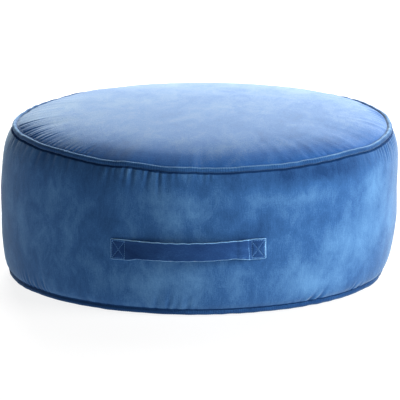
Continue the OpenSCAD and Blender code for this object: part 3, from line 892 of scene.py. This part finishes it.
def strap_section(half_w, half_t, bead, faces_n=34, edge_n=7):
    """Outline of a cut through the strap: places across and outward, with a fuller bead at each edge."""
    across = np.linspace(-1, 1, faces_n) * (half_w - half_t)
    fuller = bead * np.exp(-(((half_w - half_t - abs(across)) / 2.0) ** 2))
    outer = np.stack([across, half_t + fuller], 1)
    turn = np.linspace(math.pi / 2, -math.pi / 2, edge_n + 2)[1:-1]
    edge = np.stack([half_w - half_t + half_t * np.cos(turn), (half_t + bead) * np.sin(turn)], 1)
    inner = outer[::-1] * [1, -1]
    return np.vstack([outer, edge, inner, edge[::-1] * [-1, 1]])


def strap_cover():
    total = DISTANCE[-1]
    width_wave, sag_wave = wavy(DISTANCE / total * TAU, 61, 2, 14), wavy(DISTANCE / total * TAU, 62, 3, 16)
    verts, cloth, nap_and_light = [], [], []
    for k, d in enumerate(DISTANCE):
        tip = min(d, total - d)
        free = ease((tip - TAB_LEN) / 25)
        width = STRAP_W / 2 - 0.2 - 1.7 * free + 0.12 * width_wave[k]
        tuck = math.sqrt(max(0.0, 1 - max(0.0, 1 - tip / 2.0) ** 2))
        half_t = (STRAP_T / 2 - 0.35) * (0.25 + 0.75 * tuck)
        across, out = strap_section(width - 1.2 * (1 - tuck), half_t, 0.33).T
        facing = out > 0
        # Painted highlights along both rims and round the tips, stronger on the upper rim, and along the fold
        # at the right end
        rim = np.exp(-(((width - abs(across)) / 0.9) ** 2)) + 0.95 * math.exp(-((tip / 1.1) ** 2))
        from_fold = total - d - TAB_LEN - 4.9 - 0.07 * across - 0.6 * np.sin(across / 4)
        fold_highlight = 0.46 * np.exp(-((from_fold / 0.8) ** 2))
        shade = -0.16 + 0.86 * np.clip(rim + fold_highlight, 0, 1) + 0.2 * (across > 0) * rim
        if tip < TAB_LEN:
            # The stitches sink in and crush the pile, and the cloth puffs up between them
            from_stitch = distance_to_stitches(tip, across)
            sunk = np.exp(-(from_stitch**2))
            out = np.where(facing, out - 0.75 * sunk + 0.35 * (ease(from_stitch / 4.5) - 0.5), out)
            shade = shade + 0.30 * sunk
        sag = 2.0 * free + 0.2 * sag_wave[k]
        verts.append(on_strap(PATH[k], OUTWARD[k], across, STRAP_T / 2 + out, sag))
        cloth.append(points_of(d, across + np.where(facing, 0, 60), STRAP_CUT) * MM)
        nap_and_light.append(shade)
    faces = [f[::-1] for f in capped_faces(len(verts), len(verts[0]))]
    nodes = ("handle_grip", "handle_end_left", "handle_end_right")
    cloth, nap_and_light = np.vstack(cloth), np.concatenate(nap_and_light)
    return make("strap", np.vstack(verts), faces, None, nodes, VELVET_STRAP, "strap_velvet", cloth, nap_and_light)


def strap_core():
    verts, cloth = [], []
    for k in range(6, len(DISTANCE) - 6):
        across, out = strap_section(STRAP_W / 2 - 4.0, 0.55, 0.0, 12, 3).T
        verts.append(on_strap(PATH[k], OUTWARD[k], across, STRAP_T / 2 - 0.3 + out))
        cloth.append(points_of(DISTANCE[k], across, 0) * MM)
    faces = [f[::-1] for f in capped_faces(len(verts), len(verts[0]))]
    nodes = ("handle_grip_webbing", "handle_end_left_webbing", "handle_end_right_webbing")
    return make("strap_webbing", np.vstack(verts), faces, None, nodes, WEBBING, "webbing", np.vstack(cloth))


def capsule(a, b, radius, sides=8):
    """Points and faces of one short stitch that bulges between two points."""
    axis = unit(b - a)
    side = unit(np.cross(axis, [0, 0, 1.0] if abs(axis[2]) < 0.9 else [1.0, 0, 0]))
    up = np.cross(axis, side)
    turn = np.arange(sides) * TAU / sides
    rings = []
    for t, size in ((0.0, 0.3), (0.12, 0.8), (0.5, 1.0), (0.88, 0.8), (1.0, 0.3)):
        centre = a + (b - a) * t
        rings.append(centre + radius * size * (np.outer(np.cos(turn), side) + np.outer(np.sin(turn), up)))
    return np.vstack(rings), capped_faces(len(rings), sides)


def joined(parts):
    verts, faces, base = [], [], 0
    for v, f in parts:
        verts.append(v)
        faces += [tuple(i + base for i in face) for face in f]
        base += len(v)
    return np.vstack(verts), faces


def strap_stitching(end):
    def place(tip, across):
        d = tip if end == "left" else DISTANCE[-1] - tip
        centre, outward = ([np.interp(d, DISTANCE, row) for row in grid.T] for grid in (PATH, OUTWARD))
        return on_strap(centre, outward, across, STRAP_T - 0.7)

    parts = []
    for (x0, y0), (x1, y1) in stitch_lines():
        count = max(2, round(math.hypot(x1 - x0, y1 - y0) / 3.4))
        for i in range(count):
            ends = [(i + part) / count for part in (0.12, 0.88)]
            a, b = (place(x0 + (x1 - x0) * t, y0 + (y1 - y0) * t) for t in ends)
            parts.append(capsule(a, b, 0.38))
    make("strap_thread_" + end, *joined(parts), "cover", "handle_stitching_" + end, THREAD, "thread")


for piece in (strap_cover(), strap_core()):
    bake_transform(piece)
strap_stitching("left")
strap_stitching("right")

# ---- Zip ----

COIL_R = box_mm("zip_coil_upper")[1][1]
TAPE_R = box_mm("zip_tape_upper")[1][1]


def surface_radius(angle, height):
    """Radius of the finished side cover at one angle and height."""
    column = int(round(angle / TAU * COLS)) % COLS
    points = shell[column : N_SIDE : COLS]
    return float(np.interp(height, points[:, 2], polar(points)[0]))


def zip_tape(name):
    low, high = box_mm("zip_" + name)
    angle = np.linspace(REAR_START + 0.006, REAR_END - 0.006, 420)
    z = np.linspace(low[2] + 0.1, high[2] - 0.1, 22)
    ripple = 0.014 * wavy(angle * 3, 71, 20, 60)
    front = np.stack([arc_point(TAPE_R - 0.15 + ripple, angle, v) for v in z], 1)
    back = np.stack([arc_point(TAPE_R - 0.75 + ripple, angle, v) for v in z[::-1]], 1)
    section = np.concatenate([front, back], 1)
    a, v = np.meshgrid(angle * WIDE_R, np.r_[z, z[::-1]], indexing="ij")
    faces, cloth = capped_faces(*section.shape[:2]), points_of(a, v, 0) * MM
    make(name, section.reshape(-1, 3), faces, "cover", "zip_" + name, TAPE, "zip_tape", cloth)


def zip_coil(name, side):
    """One half of the meshed coil: a flattened nylon spiral whose heads reach into the other half."""
    middle, half = heights("zip_" + name)
    wire = 0.42
    turns, per_turn, sides = 400, 12, 6
    span = REAR_END - REAR_START - 0.04
    t = np.arange(turns * per_turn + 1) / per_turn
    phase = t * TAU
    angle = REAR_START + 0.02 + span * (t + 0.25 * (1 - side)) / (turns + 1)
    depth = (COIL_R - TAPE_R) / 2
    r = TAPE_R + 0.05 + depth + (depth - wire - 0.05) * np.sign(np.sin(phase)) * abs(np.sin(phase)) ** 0.6
    z = middle + (half - wire) * np.cos(phase) * side
    centre = arc_point(r, angle, z)
    tangent = unit(np.gradient(centre, axis=0))
    side_axis = unit(np.cross(tangent, points_of(-np.sin(angle), np.cos(angle), 0)))
    up = np.cross(side_axis, tangent)
    turn = (np.arange(sides) * TAU / sides)[:, None]
    head = 1 + 0.35 * np.clip(-np.cos(phase), 0, 1)[:, None, None] ** 3
    across = np.cos(turn) * side_axis[:, None] + np.sin(turn) * up[:, None]
    rings = centre[:, None] + wire * head * across
    radius = polar(rings)[0]
    fit = np.clip(radius, TAPE_R + 0.02, COIL_R) / radius
    rings[..., :2] *= fit[..., None]
    rings[..., 2] = np.clip(rings[..., 2], middle - half, middle + half)
    faces = capped_faces(len(centre), sides)
    make(name, rings.reshape(-1, 3), faces, "cover", "zip_" + name, COIL, "zip_coil")


def zip_threads():
    count = 176
    step = (REAR_END - REAR_START - 0.03) / count
    parts = []
    for side in (-1, 1):
        height = ZIP_Z + side * ((ZIP_HIGH - ZIP_LOW) / 2 + ZIP_HEM)
        for i in range(count):
            ends = [REAR_START + 0.015 + (i + part) * step for part in (0.1, 0.9)]
            a, b = (arc_point(surface_radius(end, height) - 0.25, end, height) for end in ends)
            parts.append(capsule(a, b, 0.36, 6))
    make("zip_threads", *joined(parts), "cover", "zip_stitching", THREAD, "thread")


zip_tape("tape_upper")
zip_tape("tape_lower")
zip_coil("coil_upper", 1)
zip_coil("coil_lower", -1)
zip_threads()
for node in ("zip_end_stops", "zip_slider", "zip_puller"):
    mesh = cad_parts[node].data
    mesh.materials.clear()
    mesh.materials.append(NICKEL)

# ---- The pad inside ----


def lathe(name, node, outline, material, slot, seed, rough):
    """A disc or ring turned from a closed outline of (radius, height), with soft unevenness."""
    count = 240
    angle = np.arange(count) * TAU / count
    outline = np.array(outline, float)
    run = run_length(outline)
    verts, cloth = [], []
    for k, (radius, height) in enumerate(outline):
        off = rough * wavy(angle + 0.02 * k, seed, 2, 40) * min(1.0, radius / 60)
        verts.append(arc_point(radius + 0.4 * off, angle, height + off * 0.6))
        cloth.append(arc_point(radius, angle, run[k]) * MM)
    is_ring = outline[0][0] > 1
    faces = grid_faces(len(outline), count, True, True) if is_ring else capped_faces(len(outline), count)
    faces, cloth = [f[::-1] for f in faces], np.vstack(cloth)
    obj = make(name, np.vstack(verts), faces, "cover", node, material, slot, cloth)


def disc_outline(node, thick, inset, crown=0.0):
    """A disc that is domed by the height of its crown, or flat."""
    high = box_mm(node)[1]
    reach, play = high[0] - inset, 0.25 if crown else inset * 0.2
    rs = np.linspace(0.5, reach, 24)
    upper = high[2] - crown + crown * (1 - (rs / reach) ** 4) - play
    half = thick / 2 - play
    turns = np.linspace(0.5, math.pi - 0.5, 4)
    edge = zip(reach + 0.45 * np.sin(turns), upper[-1] - half + half * np.cos(turns))
    return [*zip(rs, upper), *edge, *zip(rs[::-1], upper[::-1] - 2 * half)]


def ring_outline(node, thick):
    """A ring whose top and foot draw in, as the cushion's side does."""
    low, high = box_mm(node)
    middle, half = heights(node)
    zs = np.linspace(low[2] + 0.3, high[2] - 0.3, 40)
    outer = high[0] - 0.4 - 37 * (abs(zs - middle) / half) ** 4
    return [*zip(outer, zs), *zip(outer[::-1] - thick + 0.8, zs[::-1])]


def pad():
    liner_t, wad_t = 2 * heights("pad_liner_bottom")[1], 2 * heights("pad_wadding_bottom")[1]
    crown = CROWN_Z - SEAM_Z - 5
    linings = (
        ("top", disc_outline("pad_liner_top", liner_t, 0.4, crown), 0.05),
        ("bottom", disc_outline("pad_liner_bottom", liner_t, 0.4), 0.03),
        ("band", ring_outline("pad_liner_band", liner_t), 0.03),
    )
    for seed, (place, outline, rough) in enumerate(linings, 81):
        lathe("liner_" + place, "pad_liner_" + place, outline, CALICO, "calico", seed, rough)
    waddings = (
        ("top", disc_outline("pad_wadding_top", wad_t, 1.5, crown), 0.3),
        ("bottom", disc_outline("pad_wadding_bottom", wad_t, 1.0), 0.2),
        ("side", ring_outline("pad_wadding_side", wad_t), 0.15),
    )
    for seed, (place, outline, rough) in enumerate(waddings, 84):
        lathe("wadding_" + place, "pad_wadding_" + place, outline, WADDING, "wadding", seed, rough)
    low, high = box_mm("foam_core")
    rim, wide, middle = high[2] - crown, high[0] - 0.8, heights("pad_wadding_side")[0]
    zs = np.linspace(low[2] + 0.4, rim - 0.4, 34)
    half = box_mm("pad_liner_top")[1][2] - crown - middle
    side = [(wide - 38 * (abs(z - middle) / half) ** 4, z) for z in zs]
    rs = np.linspace(side[-1][0], 0.5, 24)[1:]
    top = [(r, rim - 0.4 + crown * (1 - (r / side[-1][0]) ** 4)) for r in rs]
    base = [(r, low[2] + 0.4) for r in np.linspace(0.5, side[0][0], 14)[:-1]]
    lathe("foam", "foam_core", base + side + top, FOAM, "foam", 87, 0.1)


pad()

# ---- Studio ----

FLOOR_GLOW = 0.86
WALL_TOP = (0.03, 0.16)
CEILING = 0.05


def look(obj, place, aim):
    """Puts a lamp or the camera in its place and points it at aim."""
    bpy.context.scene.collection.objects.link(obj)
    obj.location = place
    direction = obj.location.__class__(np.subtract(aim, place))
    obj.rotation_euler = direction.to_track_quat("-Z", "Y").to_euler()


def studio():
    scene = bpy.context.scene
    floor_mesh = bpy.data.meshes.new("floor")
    far = 30.0
    corners = [(-far, -far, 0), (far, -far, 0), (far, far, 0), (-far, far, 0)]
    floor_mesh.from_pydata(corners, [], [(0, 1, 2, 3)])
    floor = bpy.data.objects.new("floor", floor_mesh)
    scene.collection.objects.link(floor)
    n = Nodes("studio_floor")
    at = n.add("ShaderNodeTexCoord").outputs["Object"]
    tone = n.ramp(n.noise(at, 3.0), [(0.0, (0.19, 0.19, 0.19)), (1.0, (0.22, 0.22, 0.22))])
    floor_mesh.materials.append(
        n.surface(Base_Color=tone, Roughness=0.9, Specular_IOR_Level=0.1, Emission_Strength=FLOOR_GLOW)
    )
    # Pale walls that fade to a darker ceiling
    sky = Nodes("studio", bpy.data.worlds, "Background")
    up = sky.add("ShaderNodeTexCoord").outputs["Generated"]
    height = sky.add("ShaderNodeSeparateXYZ", {0: up}).outputs["Z"]
    pale_until, dark_from = WALL_TOP
    fade = sky.ramp(height, [(pale_until, (1.0, 1.0, 1.0)), (dark_from, (CEILING, CEILING, CEILING))])
    scene.world = sky.surface(Color=fade)
    for name, place, size, watts in (
        ("right_box", (2.15, -0.9, 0.9), (1.4, 1.4), 86),
        ("back_box", (0.3, 2.4, 0.9), (2.4, 1.0), 190),
        ("high_back_box", (0.3, 1.7, 1.9), (2.4, 1.2), 36),
        ("right_back_box", (1.8, 1.6, 1.1), (1.4, 1.4), 10),
    ):
        lamp = bpy.data.lights.new(name, "AREA")
        lamp.shape = "RECTANGLE"
        lamp.size, lamp.size_y = size
        lamp.energy = watts
        look(bpy.data.objects.new(name, lamp), place, (0, 0, 0.12))


def camera():
    azimuth, elevation, distance = math.radians(VIEW_TURN), math.radians(13.6), 22.0
    sensor, frame_width = 36.0, 0.606
    aim = np.array([0.0018, 0.0, (CAD_BOX[0][2] + CAD_BOX[1][2]) / 2 - 0.017])
    flat = distance * math.cos(elevation)
    place = aim + [flat * math.sin(azimuth), -flat * math.cos(azimuth), distance * math.sin(elevation)]
    data = bpy.data.cameras.new("camera")
    data.sensor_width = sensor
    data.lens = sensor * distance / frame_width
    data.clip_end = 100.0
    obj = bpy.data.objects.new("camera", data)
    look(obj, place, aim)
    bpy.context.scene.camera = obj


studio()
camera()
bpy.context.scene.view_settings.view_transform = "Standard"
